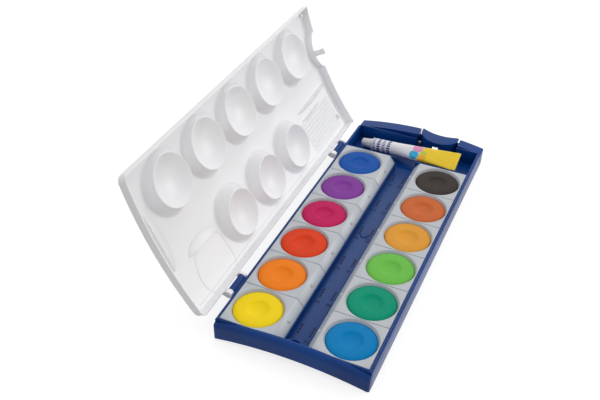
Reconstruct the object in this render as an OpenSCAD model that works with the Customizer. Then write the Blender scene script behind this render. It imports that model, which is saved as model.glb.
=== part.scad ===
// Gouache paint set box: a shallow tray with twelve paint pans, a bay with a
// tube of white, a thumb latch, and a hinged lid with round mixing wells.
// The origin is at table level under the middle of the tray. The hinge is
// towards -X, the near end is towards -Y, and the tube bay is towards +Y.
// The lid is drawn closed and then turned about its hinge by lid_open.

/* [Pans] */
// Distance from one pan to the next along the box
pan_pitch = 34; // [33.5:0.1:36]
// Width of a pan across the box
pan_w = 39; // [38:0.5:42]
// Gap between neighbouring pans
pan_gap = 0.2; // [0.1:0.05:0.5]
// Wall thickness of a pan
pan_wall = 1.1; // [0.8:0.1:1.2]
// Width of the slope on the channel side of a pan
slope_w = 4.2; // [3:0.1:5]
// Drop of the slope on the channel side of a pan
slope_h = 5.4; // [4:0.1:6]
// Radius of the mouth of the round well in a pan
well_r = 16.3; // [15.6:0.1:16.4]
// Distance from the outer edge of a pan to the middle of its well
well_set = 16.9; // [16.8:0.1:18]

/* [Paint tablets] */
// Radius of a paint tablet
tablet_r = 14.9; // [13:0.1:15]
// Drop of a tablet's edge below the top of its pan
tablet_drop = 1.3; // [1:0.1:2]
// Radius of the dimple in the middle of a tablet
dimple_r = 6.8; // [5:0.1:8]
// Clearance between a tablet and its well
tablet_gap = 0.15; // [0.1:0.05:0.3]

/* [Tray] */
// Thickness of the long walls up to the ledge that the lid closes on
wall = 2.1; // [1.8:0.1:3]
// Thickness of the thin nest rim inside the ledge
rim_t = 0.85; // [0.7:0.05:1.2]
// Height of the ledge above the table
ledge_z = 14.3; // [13.5:0.1:16]
// Height of the nest rim and of the pans above the ledge
rim_h = 1; // [0.8:0.1:1.5]
// Height of the floor under the pans
floor_z = 4.2; // [3.4:0.1:4.6]
// Thickness of the floors
floor_t = 1.6; // [1.2:0.1:1.8]
// Height of the channel floor between the pans
channel_z = 5.5; // [5:0.1:6]
// Clear width of the channel between the pans
channel_w = 15.4; // [14:0.2:18]
// Thickness of the low walls along the channel
channel_wall = 0.7; // [0.6:0.1:1]
// Gap between the low channel walls and the pans
channel_gap = 0.1; // [0.1:0.05:0.3]
// Length of the tube bay
bay_l = 30.2; // [29:0.1:38]
// Height of the floor of the tube bay
bay_z = 4.4; // [4.2:0.1:4.8]
// Thickness of the partition between the pans and the bay
part_t = 1; // [0.8:0.1:1.5]
// Width of the near end band
near_band = 3.55; // [3:0.05:5]
// Width of the far end band
far_band = 10.5; // [10:0.1:12]
// Width of the groove before the far band, which the lid's far wall closes into
groove_w = 1.8; // [1.7:0.1:3]
// Radius of the tray's upright corners
corner_r = 1.5; // [1:0.1:3]
// Rise of the arched end bands from the corners to the middle
arch_rise = 4.9; // [4:0.1:5.2]
// Height of an end band's crest above the table
band_crest = 17.6; // [17:0.1:18]
// Height of an end band's outer face
band_face = 11.5; // [10:0.1:11.8]
// Thickness of an end band's skin
band_t = 1.4; // [1:0.1:1.6]
// Rounding along an end band's outer edge
band_round = 2.1; // [1.5:0.1:2.5]
// Radius of the half-round lip at the near end of the channel
lip_r = 6; // [5:0.1:6.5]
// Radius of the round boss on the channel floor
boss_r = 3; // [2:0.1:4]

/* [Lid] */
// Angle that the lid is drawn open, from closed
lid_open = 116.2; // [0:0.2:180]
// Thickness of the lid's top skin and walls
lid_t = 1.2; // [1:0.1:1.4]
// Thickness of the lid's long walls, which pass outside the nest rim
skirt_t = 0.9; // [0.7:0.05:0.95]
// Height of the lid's long walls
skirt_h = 5.75; // [5:0.05:7]
// How much lower the rim of the end walls is, so that it meets the end bands
end_drop = 0.7; // [0:0.1:0.9]
// Gap between the closed lid and the ledge
lid_gap = 0.1; // [0.05:0.05:0.3]
// Gap between the closed lid and the far band
lid_far_gap = 0.3; // [0.2:0.05:0.6]
// Rounding of the lid's upright corners
lid_corner = 3; // [1.5:0.1:4]
// Rounding inside the lid's upright corners
inner_corner = 0.8; // [0.5:0.1:1]
// Height of the low ribs on the inside of the lid
rib_h = 0.9; // [0.5:0.1:1.5]
// Distance between the ribs of the scraping area
rib_pitch = 2.9; // [2.5:0.1:3]
// Height of the ridges and posts on the inside of the lid
ridge_h = 2.6; // [2:0.1:4]

/* [Mixing wells] */
// Distance between mixing wells along the lid
mix_pitch = 42.4; // [38:0.1:43]
// Radius of an outer well's foot
mix_foot_r = 18.6; // [17.8:0.1:19]
// Radius of an outer well's rim
mix_rim_r = 16.7; // [15:0.1:17.4]
// How much smaller a hinge-side well is
mix_smaller = 1.1; // [0:0.1:2]
// Width of a well's flat rim
mix_lip = 0.8; // [0.5:0.1:1.5]
// Depth of a well's bowl
mix_depth = 5.4; // [4.5:0.1:5.5]
// Distance of the outer wells' centres from the middle of the lid
mix_outer_x = 26; // [24:0.1:27]
// Distance of the hinge-side wells' centres from the middle of the lid
mix_inner_x = 24.5; // [22:0.1:26]
// Gap between the wells' rims and the pans when the lid is closed
mix_gap = 0.45; // [0.3:0.05:1]

/* [Hinge] */
// Radius of the hinge barrels
barrel_r = 2.25; // [2.1:0.05:2.4]
// Length of a hinge barrel
barrel_l = 14.6; // [12:0.1:20]
// Distance from the long wall to the hinge axis
hinge_out = 3; // [2.7:0.05:3.2]
// Drop of the hinge axis below the ledge
hinge_drop = 1.1; // [0.9:0.05:1.4]
// Radius of the lid's hinge pins
pin_r = 1.1; // [0.8:0.05:1.3]
// Clearance of a hinge pin in its barrel
pin_gap = 0.06; // [0.03:0.01:0.1]
// Length of a hinge pin in its barrel
pin_l = 4; // [2:0.1:5]
// Width of the lid's hinge knuckle
knuckle_w = 3.4; // [2.5:0.1:4]
// Width of the lid's thin hinge flange
flange_w = 2; // [1.5:0.1:3]
// Gap between a barrel's end and the lid's knuckle
side_gap = 0.25; // [0.15:0.05:0.4]

/* [Latch] */
// Radius of the inner edge of the thumb pad
pad_r = 14.5; // [13:0.1:15]
// Distance of the pad's middle from the middle of the box
pad_x = 14.6; // [12:0.1:18]
// Depth of the scoop in the pad's outer edge
scoop = 3.7; // [2:0.1:4]
// Thickness of the pad and of its belly wall
pad_t = 1.3; // [1:0.1:1.6]
// Gap round the latch
latch_gap = 1.2; // [0.8:0.1:1.5]
// Width of the catch window in the belly wall
window_w = 5; // [4:0.1:6]
// Height of the catch window
window_h = 4; // [3:0.1:4]

/* [Tube] */
// Radius of the tube
tube_r = 4.9; // [4.4:0.05:4.9]
// Length of the tube from its shoulder to its tail
tube_l = 69.7; // [64:0.1:71]
// Half width of the flat tail
tail_w = 7.1; // [6.8:0.1:7.7]
// Thickness of the flat tail
tail_t = 0.7; // [0.5:0.05:1]
// Length of the folded tail
tail_fold = 3.5; // [2:0.1:5]
// Length of the cap
cap_l = 8; // [6:0.1:9]
// Radius of the cap at its wide end
cap_r = 3.7; // [3.4:0.05:4]
// Radius of the neck inside the cap
neck_r = 2.4; // [2:0.05:2.6]
// Clearance between the neck and the cap
neck_gap = 0.08; // [0.05:0.01:0.1]
// Angle that the tail points up by
tube_pitch = 6.8; // [5:0.1:7.5]
// Angle that the tail points towards the near end by
tube_yaw = 7.4; // [6:0.1:8]
// Angle that the flat tail is rolled by
tube_roll = 33.4; // [25:0.1:40]

/* [Hidden] */
$fn = 96;
eps = 0.01;
rows = 6;
rib_count = 9;
fit = 0.1;
side_fit = 0.2;

// The tray's plan, worked out from the pans outwards
in_x = channel_w / 2 + pan_w + side_fit;
out_x = in_x + wall;
tray_l = near_band + rim_t + fit + rows * pan_pitch + fit + part_t + bay_l + rim_t + groove_w + far_band;
near_y = -tray_l / 2;
far_y = tray_l / 2;
band_y0 = near_y + near_band;
pans_y = band_y0 + rim_t + fit;
part_y = pans_y + rows * pan_pitch + fit;
bay_y = part_y + part_t;
bay_end = bay_y + bay_l;
groove_y = bay_end + rim_t;
band_y1 = groove_y + groove_w;
groove_z = band_crest - arch_rise - 0.3;

// Heights
pan_top = ledge_z + rim_h;
floor_low = floor_z - floor_t;

// The arch of the end bands and of the lid has one radius
arch_r = (out_x * out_x + arch_rise * arch_rise) / (2 * arch_rise);
band_axis = band_crest - arch_r;
lid_rim = ledge_z + lid_gap;
lid_top = lid_rim + skirt_h + arch_rise;
lid_axis = lid_top - arch_r;
lid_near = near_y + fit;
lid_far = band_y1 - lid_far_gap;
mix_rim_z = pan_top + mix_gap;

// The hinge axis
hinge_x = -out_x - hinge_out;
hinge_z = ledge_z - hinge_drop;
hinge_near = near_y + 36.2;
hinge_far = part_y - 4.6;

// The latch pad
pad_y = far_y - 1.8;
pad_low = pad_y - pad_r;
notch_r = pad_r + 3.5;
notch_y = far_y + 0.3;
scoop_half = 13;
scoop_r = (scoop_half * scoop_half + scoop * scoop) / (2 * scoop);
root_r = 0.9;
root_y = pad_low + pad_t;
root_z = bay_z + 0.2 + root_r;
window_z = ledge_z - 4.8;
pad_cut_z = band_crest - 5.8;

// The tube's shoulder
tube_x = -in_x + 15.6;
tube_y = bay_y + 17.1;
tube_z = bay_z + 5.2;

WHITE = [0.93, 0.94, 0.95];
NAVY = [0.1, 0.2, 0.45];
GREY = [0.74, 0.76, 0.79];

// A box given by its two opposite corners
module box(a, b) {
    translate(a) cube([b[0] - a[0], b[1] - a[1], b[2] - a[2]]);
}

// A rectangle from y0 to y1, hw to each side, with round corners
module plan(hw, y0, y1, r) {
    translate([-hw + r, y0]) square([2 * hw - 2 * r, y1 - y0]);
    translate([-hw, y0 + r]) square([2 * hw, y1 - y0 - 2 * r]);
    for (x = [-hw + r, hw - r], y = [y0 + r, y1 - r]) {
        translate([x, y]) circle(r);
    }
}

// Everything inside a long cylinder that lies along Y
module under_arch(r, z, y0, y1) {
    translate([0, y0, z]) rotate([-90, 0, 0]) cylinder(r = r, h = y1 - y0, $fn = 720);
}

// A profile of radius and y turned about the arch's axis
module arched(z) {
    translate([0, 0, z]) rotate([-90, 0, 0]) rotate_extrude($fn = 720) children();
}

// The outer skin of an end band: a face, a rounded edge and a level top
module band_profile(face_y, inner_y) {
    s = inner_y > face_y ? 1 : -1;
    y0 = min(face_y, inner_y);
    w = abs(inner_y - face_y);
    difference() {
        union() {
            translate([arch_r - band_face, y0]) square([band_face - band_round, w]);
            translate([arch_r - band_round - eps, min(face_y + s * band_round, inner_y)])
                square([band_round + eps, w - band_round]);
            translate([arch_r - band_round, face_y + s * band_round]) circle(band_round);
        }
        translate([arch_r - band_face - 1, min(face_y + s * band_t, inner_y + s)])
            square([band_face + 1 - band_t, w - band_t + 1]);
    }
}

// One arched end of the tray
module end_band(face_y, inner_y) {
    intersection() {
        arched(band_axis) band_profile(face_y, inner_y);
        linear_extrude(band_crest + 1) plan(out_x, near_y, far_y, corner_r);
    }
}

// The long walls with the ledge, which drop to the arch at the corners
module long_walls() {
    difference() {
        intersection() {
            linear_extrude(ledge_z) plan(out_x, near_y, far_y, corner_r);
            union() {
                box([-out_x, band_y0, 0], [out_x, groove_y, ledge_z]);
                under_arch(arch_r, band_axis, near_y, far_y);
            }
        }
        box([-in_x, near_y - 1, -1], [in_x, far_y + 1, ledge_z + 1]);
    }
    for (s = [-1, 1]) {
        x = s > 0 ? in_x : -in_x - rim_t;
        box([x, band_y0, ledge_z - 1], [x + rim_t, groove_y, pan_top]);
    }
}

// The walls across the box at both ends and the partition before the bay
module cross_walls() {
    box([-in_x - eps, band_y0, floor_low], [in_x + eps, band_y0 + rim_t, pan_top]);
    box([-in_x - eps, bay_end, bay_z - floor_t], [in_x + eps, groove_y, pan_top]);
    box([-in_x - eps, groove_y - eps, bay_z], [in_x + eps, band_y1, groove_z]);
    difference() {
        box([-in_x - eps, part_y, floor_low], [in_x + eps, bay_y, pan_top - 0.4]);
        box([-channel_w / 2, part_y - 1, channel_z], [channel_w / 2, bay_y + 1, pan_top]);
    }
}

// The floors, the low walls along the channel, the foot under the channel and
// the plate that closes the far band below the latch
module floors() {
    hw = channel_w / 2 - channel_gap;
    difference() {
        union() {
            box([-in_x - eps, band_y0, floor_low], [in_x + eps, bay_y, floor_z]);
            box([-hw, band_y0, floor_low], [hw, bay_y, channel_z]);
        }
        box([-hw + floor_t, band_y0 + rim_t, 0], [hw - floor_t, part_y, channel_z - floor_t]);
    }
    for (x = [-hw, hw - channel_wall]) {
        box([x, band_y0, floor_z - eps], [x + channel_wall, part_y + eps, pan_top - slope_h - 0.3]);
    }
    box([-in_x - eps, bay_y - eps, bay_z - floor_t], [in_x + eps, band_y1, bay_z]);
    box([pad_x - pad_r - 2.2, band_y1 - 0.5, bay_z - 0.2],
        [pad_x + pad_r + 2.2, far_y - band_t / 2, bay_z + 0.9]);
    box([-hw + 2, -12, 0], [hw - 2, 12, channel_z - floor_t + eps]);
}

// The half-round lip at the near end of the channel and the round boss
module channel_trim() {
    difference() {
        translate([1.6, band_y0 - 1.5, channel_z - eps]) cylinder(r = lip_r, h = pan_top + 0.5 - channel_z);
        translate([1.6, band_y0 - 1.5, channel_z + 1.5]) cylinder(r = lip_r - 1.2, h = pan_top);
        box([-out_x, near_y - lip_r, 0], [out_x, band_y0 + eps, pan_top + 2]);
    }
    translate([0, pans_y + (rows + 1) / 2 * pan_pitch, channel_z - eps]) cylinder(r = boss_r, h = 0.8);
}

// A hinge barrel with its neck, bored at both ends for the lid's pins
module barrel(y) {
    difference() {
        union() {
            translate([hinge_x, y - barrel_l / 2, hinge_z]) rotate([-90, 0, 0])
                cylinder(r = barrel_r, h = barrel_l);
            box([hinge_x, y - barrel_l / 2, hinge_z - barrel_r],
                [-out_x + eps, y + barrel_l / 2, hinge_z + 0.6]);
        }
        translate([hinge_x, y - barrel_l / 2 - 1, hinge_z]) rotate([-90, 0, 0])
            cylinder(r = pin_r + pin_gap, h = pin_l + 1.5);
        translate([hinge_x, y + barrel_l / 2 - pin_l - 0.5, hinge_z]) rotate([-90, 0, 0])
            cylinder(r = pin_r + pin_gap, h = pin_l + 1.5);
    }
}

// The opening in the far band that the latch stands in
module latch_opening() {
    x0 = pad_x - pad_r - latch_gap;
    x1 = pad_x + pad_r + latch_gap;
    box([x0, bay_end - 1, pad_cut_z], [x1, far_y + 1, band_crest + 1]);
    box([x0, bay_end - 1, bay_z + 1], [x1, band_y1 + eps, band_crest + 1]);
}

module tray() {
    color(NAVY) {
        difference() {
            union() {
                long_walls();
                cross_walls();
                floors();
                end_band(near_y, band_y0 + rim_t / 2);
                end_band(far_y, band_y1 - band_t / 2);
            }
            latch_opening();
        }
        channel_trim();
        barrel(hinge_near);
        barrel(hinge_far);
    }
}

// The thumb latch: an arched pad, a curved belly wall with the catch's
// window, and a round root that it flexes about
module latch() {
    color(NAVY) {
        difference() {
            intersection() {
                under_arch(arch_r, band_axis, pad_low - 1, far_y);
                linear_extrude(band_crest + 1) pad_plan(pad_r);
                union() {
                    difference() {
                        linear_extrude(band_crest + 1) pad_plan(pad_r);
                        under_arch(arch_r - pad_t, band_axis, pad_low - 2, far_y + 1);
                    }
                    difference() {
                        translate([0, 0, bay_z + 2.6]) linear_extrude(band_crest) pad_plan(pad_r);
                        translate([pad_x, pad_y, 0])
                            cylinder(r = pad_r - pad_t, h = 3 * band_crest, center = true);
                        box([-out_x, pad_y - 2, 0], [out_x, far_y + 1, pad_cut_z + 2]);
                    }
                }
            }
            box([pad_x - window_w / 2, pad_low - 1, window_z],
                [pad_x + window_w / 2, pad_low + 2 * pad_t, window_z + window_h]);
        }
        box([pad_x - 7, root_y - pad_t / 2, root_z], [pad_x + 7, root_y + pad_t / 2, bay_z + 2.9]);
        translate([pad_x - 7, root_y, root_z]) rotate([0, 90, 0]) cylinder(r = root_r, h = 14);
    }
}

// The pad seen from above: round inside, straight sides, scooped outside
module pad_plan(r) {
    difference() {
        union() {
            translate([pad_x, pad_y]) circle(r);
            translate([pad_x - r, pad_y]) square([2 * r, far_y - pad_y]);
        }
        translate([-out_x, far_y]) square([2 * out_x, 20]);
        translate([pad_x - 0.4, far_y - scoop + scoop_r]) circle(scoop_r);
    }
}

// Moves what is drawn closed to where the open lid is
module opened() {
    translate([hinge_x, 0, hinge_z]) rotate([0, -lid_open, 0]) translate([-hinge_x, 0, -hinge_z])
        children();
}

// The plan of the lid, t in from its ends and side in from its long sides,
// with the notch round the latch
module lid_plan(t, side) {
    difference() {
        plan(out_x - side, lid_near + t, lid_far - t, t > 0 ? inner_corner : lid_corner);
        translate([pad_x + 0.9, notch_y]) circle(notch_r + t);
    }
}

// The skin and walls. The end walls' rims follow the arch, as the end bands do
module lid_skin() {
    rim_r = arch_r - skirt_h - end_drop;
    low = lid_rim - 2 * end_drop - 1;
    difference() {
        intersection() {
            under_arch(arch_r, lid_axis, lid_near, lid_far);
            translate([0, 0, low]) linear_extrude(lid_top) lid_plan(0, 0);
        }
        intersection() {
            under_arch(arch_r - lid_t, lid_axis, lid_near, lid_far);
            linear_extrude(lid_top + 1) lid_plan(lid_t, skirt_t);
        }
        under_arch(rim_r, lid_axis, lid_near - 1, lid_near + lid_t + eps);
        under_arch(rim_r, lid_axis, lid_far - lid_t - eps, lid_far + 1);
        box([-out_x - 1, lid_near + lid_t, 0], [out_x + 1, lid_far - lid_t, lid_rim]);
    }
}

// An arm from the lid's wall to the hinge axis
module lid_ear(y, w) {
    translate([0, y, 0]) rotate([90, 0, 0]) translate([0, 0, -w]) linear_extrude(w) {
        translate([hinge_x, hinge_z]) circle(barrel_r);
        polygon([[hinge_x - barrel_r * 0.8, hinge_z + barrel_r * 0.6],
            [hinge_x + barrel_r * 0.6, hinge_z - barrel_r * 0.4],
            [-out_x - 0.15, lid_rim - 0.6], [-out_x - 0.15, lid_rim + eps],
            [-out_x + 0.2, lid_rim + eps], [-out_x + 0.2, lid_rim + skirt_h * 0.75],
            [-out_x - 0.4, lid_rim + skirt_h * 0.75]]);
    }
}

module hinge_pin(y, h) {
    translate([hinge_x, y, hinge_z]) rotate([-90, 0, 0]) cylinder(r = pin_r, h = h);
}

// The knuckle, flange and pins round one barrel
module lid_hinge(y) {
    y0 = y - barrel_l / 2 - side_gap;
    y1 = y + barrel_l / 2 + side_gap;
    lid_ear(y0 - knuckle_w, knuckle_w);
    hinge_pin(y0 - eps, pin_l + side_gap);
    lid_ear(y1, flange_w);
    hinge_pin(y1 - pin_l - side_gap, pin_l + side_gap + eps);
}

// Keeps what stands on the inside of the lid's skin, up to a height
module on_skin(height) {
    intersection() {
        difference() {
            under_arch(arch_r - lid_t + eps, lid_axis, lid_near, lid_far);
            under_arch(arch_r - lid_t - height, lid_axis, lid_near - 1, lid_far + 1);
        }
        children();
    }
}

// A bar on the inside of the lid, from corner to corner of its plan
module bar(x0, y0, x1, y1) {
    box([x0, y0, lid_rim], [x1, y1, lid_top]);
}

// Low bars, ribs and posts on the inside of the lid
module lid_trim() {
    on_skin(rib_h) {
        for (i = [0:rib_count - 1]) {
            x = -in_x + 2.4 + i * rib_pitch;
            bar(x, part_y - 25, x + rib_pitch * 0.4, lid_far - 3);
        }
        bar(-16, lid_near + 6.4, 19, lid_near + 7.4);
        bar(-16, lid_near + 11.3, 19, lid_near + 12.3);
        bar(-in_x, pans_y + 49.8, -18, pans_y + 51);
        bar(-19.2, pans_y + 18, -18, pans_y + 46);
        bar(-41, pans_y + 18, -39.6, pans_y + 46);
    }
    on_skin(ridge_h) {
        bar(-10.8, part_y - 20, -9.4, lid_far - lid_t + eps);
        bar(-18.2, part_y - 17, -17, part_y + 11.5);
        bar(42.5, lid_far - 6, 45.5, lid_far - 3);
        bar(-39.5, lid_far - 10, -36.5, lid_far - 7);
    }
}

// The tongue that the latch's window holds
module lid_catch() {
    x0 = pad_x - window_w / 2 + 0.4;
    x1 = pad_x + window_w / 2 - 0.4;
    y = notch_y - notch_r;
    box([x0, y - lid_t, window_z + 0.6], [x1, y - eps, lid_rim + 1]);
    box([x0, y - 0.1, window_z + 1], [x1, pad_low - 0.15, window_z + window_h - 0.4]);
}

module lid_shell() {
    color(WHITE) opened() {
        lid_skin();
        lid_hinge(hinge_near);
        lid_hinge(hinge_far);
        lid_trim();
        lid_catch();
    }
}

// One round mixing well, hanging from the closed lid's skin
module mixing_well(x, y, foot_r, rim_r) {
    mouth_r = rim_r - mix_lip;
    bowl_r = (mouth_r * mouth_r + mix_depth * mix_depth) / (2 * mix_depth);
    color(WHITE) opened() difference() {
        intersection() {
            translate([x, y, mix_rim_z]) cylinder(r1 = rim_r, r2 = foot_r + 0.6, h = lid_top - mix_rim_z);
            under_arch(arch_r - lid_t, lid_axis, lid_near, lid_far);
        }
        translate([x, y, mix_rim_z + mix_depth - bowl_r]) sphere(r = bowl_r, $fn = 160);
    }
}

// Places of the mixing wells, counted along the outer row and then the hinge side
mix_y = near_y + 34.2;
function mix_x(i) = i < 5 ? mix_outer_x : -mix_inner_x;
function mix_row(i) = i < 5 ? i : i - 4;

module well_number(i) {
    less = i < 5 ? 0 : mix_smaller;
    mixing_well(mix_x(i), mix_y + mix_row(i) * mix_pitch, mix_foot_r - less, mix_rim_r - less);
}

// Places of the pans, counted up the hinge side and then up the free side
function side_of(i) = i < rows ? -1 : 1;
function pan_y0(i) = pans_y + (i % rows) * pan_pitch + pan_gap / 2;
function well_x(i) = side_of(i) * (channel_w / 2 + pan_w - well_set);
function well_y(i) = pans_y + (i % rows + 0.5) * pan_pitch;

// The section of a pan on the free side
module pan_section() {
    x0 = channel_w / 2;
    x1 = x0 + pan_w;
    polygon([[x0, floor_z], [x1, floor_z], [x1, pan_top - 0.3], [x1 - 0.3, pan_top],
        [x0 + slope_w, pan_top], [x0 + slope_w * 0.5, pan_top - slope_h * 0.43],
        [x0, pan_top - slope_h]]);
}

module pan(i) {
    s = side_of(i);
    y0 = pan_y0(i);
    l = pan_pitch - pan_gap;
    seat = floor_z + pan_wall;
    color(GREY) difference() {
        scale_x(s) translate([0, y0 + l, 0]) rotate([90, 0, 0]) linear_extrude(l) pan_section();
        translate([well_x(i), well_y(i), seat]) cylinder(r = tablet_r + tablet_gap, h = pan_top);
        translate([well_x(i), well_y(i), pan_top - tablet_drop - 0.4])
            cylinder(r1 = tablet_r + tablet_gap, r2 = well_r, h = tablet_drop + 0.4 + eps);
    }
}

module scale_x(s) {
    if (s > 0) {
        children();
    } else {
        mirror([1, 0, 0]) children();
    }
}

// A paint tablet with a soft dome and a dimple in its middle
module paint(i, c) {
    seat = floor_z + pan_wall;
    edge = pan_top - tablet_drop;
    color(c) translate([well_x(i), well_y(i), 0]) rotate_extrude()
        polygon([[0, seat], [tablet_r, seat], [tablet_r, edge - 0.5], [tablet_r - 0.6, edge],
            [tablet_r - 3, edge + 0.5], [dimple_r + 1.2, edge + 0.6], [dimple_r, edge + 0.3],
            [dimple_r - 2.5, edge - 0.4], [0, edge - 0.6]]);
}

// Moves what is drawn along +X to where the tube lies
module along_tube() {
    translate([tube_x, tube_y, tube_z]) rotate([tube_roll, -tube_pitch, -tube_yaw]) children();
}

module tube_body() {
    color(WHITE) along_tube() {
        hull() {
            rotate([0, 90, 0]) cylinder(r = tube_r, h = tube_l * 0.35, $fn = 32);
            translate([tube_l - tail_fold - 0.1, -tail_w, -tail_t / 2]) cube([0.1, 2 * tail_w, tail_t]);
        }
        translate([tube_l - tail_fold - 0.05, -tail_w, -tail_t / 2])
            cube([tail_fold + 0.05, 2 * tail_w, tail_t]);
        translate([-1, 0, 0]) rotate([0, 90, 0]) cylinder(r1 = tube_r - 1, r2 = tube_r, h = 1.05);
        translate([-cap_l + 1.5, 0, 0]) rotate([0, 90, 0]) cylinder(r = neck_r, h = cap_l - 1.4);
    }
}

module tube_cap() {
    color(WHITE) along_tube() difference() {
        translate([-cap_l - 1.2, 0, 0]) rotate([0, 90, 0]) cylinder(r1 = cap_r - 0.6, r2 = cap_r, h = cap_l);
        translate([-cap_l + 1.2, 0, 0]) rotate([0, 90, 0]) cylinder(r = neck_r + neck_gap, h = cap_l);
    }
}

tray();
lid_shell();
latch();
tube_body();
tube_cap();
well_number(0);  // mixing_well_1
well_number(1);  // mixing_well_2
well_number(2);  // mixing_well_3
well_number(3);  // mixing_well_4
well_number(4);  // mixing_well_5
well_number(5);  // mixing_well_6
well_number(6);  // mixing_well_7
well_number(7);  // mixing_well_8
pan(0);  // pan_1
pan(1);  // pan_2
pan(2);  // pan_3
pan(3);  // pan_4
pan(4);  // pan_5
pan(5);  // pan_6
pan(6);  // pan_7
pan(7);  // pan_8
pan(8);  // pan_9
pan(9);  // pan_10
pan(10);  // pan_11
pan(11);  // pan_12
paint(0, "gold");  // paint_1
paint(1, "darkorange");  // paint_2
paint(2, "orangered");  // paint_3
paint(3, "mediumvioletred");  // paint_4
paint(4, "rebeccapurple");  // paint_5
paint(5, "royalblue");  // paint_6
paint(6, "deepskyblue");  // paint_7
paint(7, "teal");  // paint_8
paint(8, "yellowgreen");  // paint_9
paint(9, "goldenrod");  // paint_10
paint(10, "peru");  // paint_11
paint(11, "dimgray");  // paint_12
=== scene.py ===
"""A gouache paint set box: tray, pans, paints, tube, latch and open lid."""

import math

import bmesh
import bpy
from mathutils import Matrix, Vector


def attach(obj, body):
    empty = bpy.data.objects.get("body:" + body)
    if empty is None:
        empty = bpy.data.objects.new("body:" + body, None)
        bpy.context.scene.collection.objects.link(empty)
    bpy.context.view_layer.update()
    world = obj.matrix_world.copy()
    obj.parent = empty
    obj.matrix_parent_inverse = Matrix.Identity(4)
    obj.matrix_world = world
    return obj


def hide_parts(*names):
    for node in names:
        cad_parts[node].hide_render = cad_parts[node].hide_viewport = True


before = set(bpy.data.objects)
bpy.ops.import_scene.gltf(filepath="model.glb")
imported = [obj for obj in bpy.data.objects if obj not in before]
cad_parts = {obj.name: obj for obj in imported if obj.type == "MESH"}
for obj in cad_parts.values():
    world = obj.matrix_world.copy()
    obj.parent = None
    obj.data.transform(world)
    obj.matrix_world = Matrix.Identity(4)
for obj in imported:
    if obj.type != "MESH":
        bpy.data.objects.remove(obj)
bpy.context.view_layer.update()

bl_info = {
    "name": "Gouache paint set box",
    "version": (1, 0, 0),
    "blender": (4, 5, 0),
    "location": "View3D > Sidebar > Paint box",
    "description": "Builds the tray, pans, paints, tube and lid of a paint box",
    "category": "Add Mesh",
}

MM = 0.001
PAN_NAMES = ("yellow", "orange", "red", "magenta", "violet", "blue",
             "sky_blue", "teal", "lime", "ochre", "brown", "black")
WELLS = [f"mixing_well_{i}" for i in range(1, 9)]

# Places and sizes that belong together, in millimetres: the middles of the two
# hinge barrels along the box, their half length, radius and bore, and the pins
BARRELS = (-90.275, 77.525)
BARREL_HALF, BARREL_R, BORE_R, PIN_R = 7.3, 2.25, 1.16, 1.1
# The latch's pad: its middle, radius and scoop, and the gap for it in the band
PAD_X, PAD_Y, PAD_R = 14.6, 124.675, 14.5
SCOOP_HALF, SCOOP_DEEP = 13, 3.7
GAP_X0, GAP_X1 = -1.1, 30.3
# The lid's catch across the box, and its tip along it
CATCH_X0, CATCH_X1, CATCH_TIP = 12.5, 16.7, 110.0
# What a pan leaves free at each end
PAN_GAP = 0.22
# Middle of the marks on each half of the channel floor
MARKS_X = 3.9


# Sizes

def length(name, description, millimetres):
    return bpy.props.FloatProperty(name=name, description=description,
                                   default=millimetres * MM, precision=5,
                                   unit="LENGTH", subtype="DISTANCE")


def tint(name, description, red, green, blue):
    """A colour property, given as the 8-bit values that it should show."""
    def linear(v):
        v /= 255
        return v / 12.92 if v <= 0.04045 else ((v + 0.055) / 1.055) ** 2.4
    return bpy.props.FloatVectorProperty(
        name=name, description=description, size=4, subtype="COLOR", min=0, max=1,
        default=(linear(red), linear(green), linear(blue), 1))


class PaintboxTraySizes(bpy.types.PropertyGroup):
    half_w: length("Half width", "Middle of the box to the outside of a long wall", 49)
    inner: length("Inner half width", "Middle of the box to the inside of a long wall", 46.9)
    near: length("Near end", "Outer face of the near end band", -126.475)
    near_in: length("Near band's inner edge", "Where the near nest rim starts", -122.925)
    far_in: length("Far band's inner edge", "Where the far end band starts", 115.975)
    far: length("Far end", "Outer face of the far end band", 126.475)
    corner: length("Corner", "Radius of the upright corners", 1.5)
    ledge: length("Ledge", "Height of the ledge that the lid closes on", 14.3)
    rim: length("Rim", "Height of the nest rim", 15.3)
    rim_t: length("Rim thickness", "Thickness of the nest rim", 0.85)
    crest: length("Crest", "Height of the end bands in the middle", 17.6)
    arch: length("Arch radius", "Radius of the arch of the end bands and lid", 247.45)
    band_h: length("Band face", "Height of an end band's outer face", 11.5)
    near_edge: length("Near edge", "Rounding along the near band's outer edge", 3.2)
    far_edge: length("Far edge", "Rounding along the far band's outer edge", 1.6)
    floor: length("Floor", "Height of the floor under the pans", 4.2)
    channel: length("Channel floor", "Height of the channel floor", 5.5)
    channel_top: length("Channel walls", "Height of the low walls along the channel", 9.6)
    bay: length("Bay floor", "Height of the tube bay's floor", 4.4)
    bay_near: length("Bay's near end", "Near side of the tube bay", 83.125)
    bay_far: length("Bay's far end", "Far side of the tube bay", 113.325)
    hinge_x: length("Hinge across", "Place of the hinge axis across the box", -52)
    hinge_z: length("Hinge height", "Height of the hinge axis", 13.2)


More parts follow.
